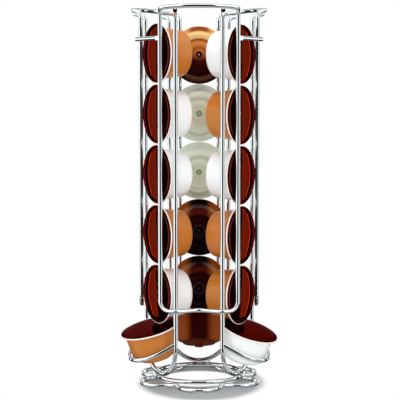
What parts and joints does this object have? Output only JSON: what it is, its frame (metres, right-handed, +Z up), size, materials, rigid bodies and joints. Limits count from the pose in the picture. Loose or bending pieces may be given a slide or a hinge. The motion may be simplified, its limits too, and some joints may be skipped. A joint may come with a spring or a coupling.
{
  "type": "coffee capsule dispenser",
  "caption": "Free-standing tower of bent, welded chrome wire that stores coffee capsules in columns and offers the lowest of each column in a sloping catch loop.",
  "frame": {"origin": "the tower's vertical axis at the table, in the middle of the flower foot", "axes": "+Z up; -Y is the front, where a gap between two columns faces; +X is the right side seen from the front"},
  "size_m": [0.1428, 0.1385, 0.3425],
  "materials": {
    "chrome_wire": "polished chrome plate on steel wire",
    "orange_shell": "glossy moulded plastic",
    "white_shell": "glossy moulded plastic",
    "amber_shell": "translucent tinted plastic",
    "frosted_shell": "frosted translucent plastic",
    "brown_shell": "dark translucent plastic",
    "foil_lid": "glossy printed foil"
  },
  "bodies": {
    "rack": {"petal_foot": "chrome_wire", "base_ring": "chrome_wire", "front_retaining_frame": "chrome_wire", "right_rear_retaining_frame": "chrome_wire", "left_rear_retaining_frame": "chrome_wire", "left_column_loop": "chrome_wire", "left_catch_loop": "chrome_wire", "left_top_brace": "chrome_wire", "right_column_loop": "chrome_wire", "right_catch_loop": "chrome_wire", "right_top_brace": "chrome_wire", "back_column_loop": "chrome_wire", "back_catch_loop": "chrome_wire", "back_top_brace": "chrome_wire"},
    "left_catch_capsule": {"left_catch_capsule_shell": "orange_shell", "left_catch_capsule_lid": "foil_lid"},
    "left_capsule_1": {"left_capsule_1_shell": "white_shell", "left_capsule_1_lid": "foil_lid"},
    "left_capsule_2": {"left_capsule_2_shell": "orange_shell", "left_capsule_2_lid": "foil_lid"},
    "left_capsule_3": {"left_capsule_3_shell": "white_shell", "left_capsule_3_lid": "foil_lid"},
    "left_capsule_4": {"left_capsule_4_shell": "white_shell", "left_capsule_4_lid": "foil_lid"},
    "left_capsule_5": {"left_capsule_5_shell": "orange_shell", "left_capsule_5_lid": "foil_lid"},
    "right_catch_capsule": {"right_catch_capsule_shell": "white_shell", "right_catch_capsule_lid": "foil_lid"},
    "right_capsule_1": {"right_capsule_1_shell": "orange_shell", "right_capsule_1_lid": "foil_lid"},
    "right_capsule_2": {"right_capsule_2_shell": "orange_shell", "right_capsule_2_lid": "foil_lid"},
    "right_capsule_3": {"right_capsule_3_shell": "white_shell", "right_capsule_3_lid": "foil_lid"},
    "right_capsule_4": {"right_capsule_4_shell": "orange_shell", "right_capsule_4_lid": "foil_lid"},
    "right_capsule_5": {"right_capsule_5_shell": "white_shell", "right_capsule_5_lid": "foil_lid"},
    "back_catch_capsule": {"back_catch_capsule_shell": "brown_shell", "back_catch_capsule_lid": "foil_lid"},
    "back_capsule_1": {"back_capsule_1_shell": "brown_shell", "back_capsule_1_lid": "foil_lid"},
    "back_capsule_2": {"back_capsule_2_shell": "brown_shell", "back_capsule_2_lid": "foil_lid"},
    "back_capsule_3": {"back_capsule_3_shell": "frosted_shell", "back_capsule_3_lid": "foil_lid"},
    "back_capsule_4": {"back_capsule_4_shell": "frosted_shell", "back_capsule_4_lid": "foil_lid"},
    "back_capsule_5": {"back_capsule_5_shell": "amber_shell", "back_capsule_5_lid": "foil_lid"}
  },
  "joints": [
    {"name": "left_catch_lift", "type": "slide", "parent": "rack", "child": "left_catch_capsule", "axis": [-0.2387, -0.1378, 0.9613], "range_m": [0, 0.013]},
    {"name": "left_capsule_1_lift", "type": "slide", "parent": "rack", "child": "left_capsule_1", "axis": [0, 0, 1], "range_m": [0, 0.0137]},
    {"name": "left_capsule_2_lift", "type": "slide", "parent": "left_capsule_1", "child": "left_capsule_2", "axis": [0, 0, 1], "range_m": [0, 0.0543]},
    {"name": "left_capsule_3_lift", "type": "slide", "parent": "left_capsule_2", "child": "left_capsule_3", "axis": [0, 0, 1], "range_m": [0, 0.0543]},
    {"name": "left_capsule_4_lift", "type": "slide", "parent": "left_capsule_3", "child": "left_capsule_4", "axis": [0, 0, 1], "range_m": [0, 0.0543]},
    {"name": "left_capsule_5_lift", "type": "slide", "parent": "left_capsule_4", "child": "left_capsule_5", "axis": [0, 0, 1], "range_m": [0, 0.075]},
    {"name": "right_catch_lift", "type": "slide", "parent": "rack", "child": "right_catch_capsule", "axis": [0.2891, -0.1669, 0.9426], "range_m": [0, 0.013]},
    {"name": "right_capsule_1_lift", "type": "slide", "parent": "rack", "child": "right_capsule_1", "axis": [0, 0, 1], "range_m": [0, 0.014]},
    {"name": "right_capsule_2_lift", "type": "slide", "parent": "right_capsule_1", "child": "right_capsule_2", "axis": [0, 0, 1], "range_m": [0, 0.0543]},
    {"name": "right_capsule_3_lift", "type": "slide", "parent": "right_capsule_2", "child": "right_capsule_3", "axis": [0, 0, 1], "range_m": [0, 0.0543]},
    {"name": "right_capsule_4_lift", "type": "slide", "parent": "right_capsule_3", "child": "right_capsule_4", "axis": [0, 0, 1], "range_m": [0, 0.0543]},
    {"name": "right_capsule_5_lift", "type": "slide", "parent": "right_capsule_4", "child": "right_capsule_5", "axis": [0, 0, 1], "range_m": [0, 0.075]},
    {"name": "back_catch_lift", "type": "slide", "parent": "rack", "child": "back_catch_capsule", "axis": [0, 0.3256, 0.9455], "range_m": [0, 0.013]},
    {"name": "back_capsule_1_lift", "type": "slide", "parent": "rack", "child": "back_capsule_1", "axis": [0, 0, 1], "range_m": [0, 0.0139]},
    {"name": "back_capsule_2_lift", "type": "slide", "parent": "back_capsule_1", "child": "back_capsule_2", "axis": [0, 0, 1], "range_m": [0, 0.0543]},
    {"name": "back_capsule_3_lift", "type": "slide", "parent": "back_capsule_2", "child": "back_capsule_3", "axis": [0, 0, 1], "range_m": [0, 0.0543]},
    {"name": "back_capsule_4_lift", "type": "slide", "parent": "back_capsule_3", "child": "back_capsule_4", "axis": [0, 0, 1], "range_m": [0, 0.0543]},
    {"name": "back_capsule_5_lift", "type": "slide", "parent": "back_capsule_4", "child": "back_capsule_5", "axis": [0, 0, 1], "range_m": [0, 0.075]}
  ],
  "couplings": [
    {"joint": "left_capsule_1_lift", "follows": "left_catch_lift", "ratio": 1.0403},
    {"joint": "right_capsule_1_lift", "follows": "right_catch_lift", "ratio": 1.0608},
    {"joint": "back_capsule_1_lift", "follows": "back_catch_lift", "ratio": 1.0576}
  ]
}
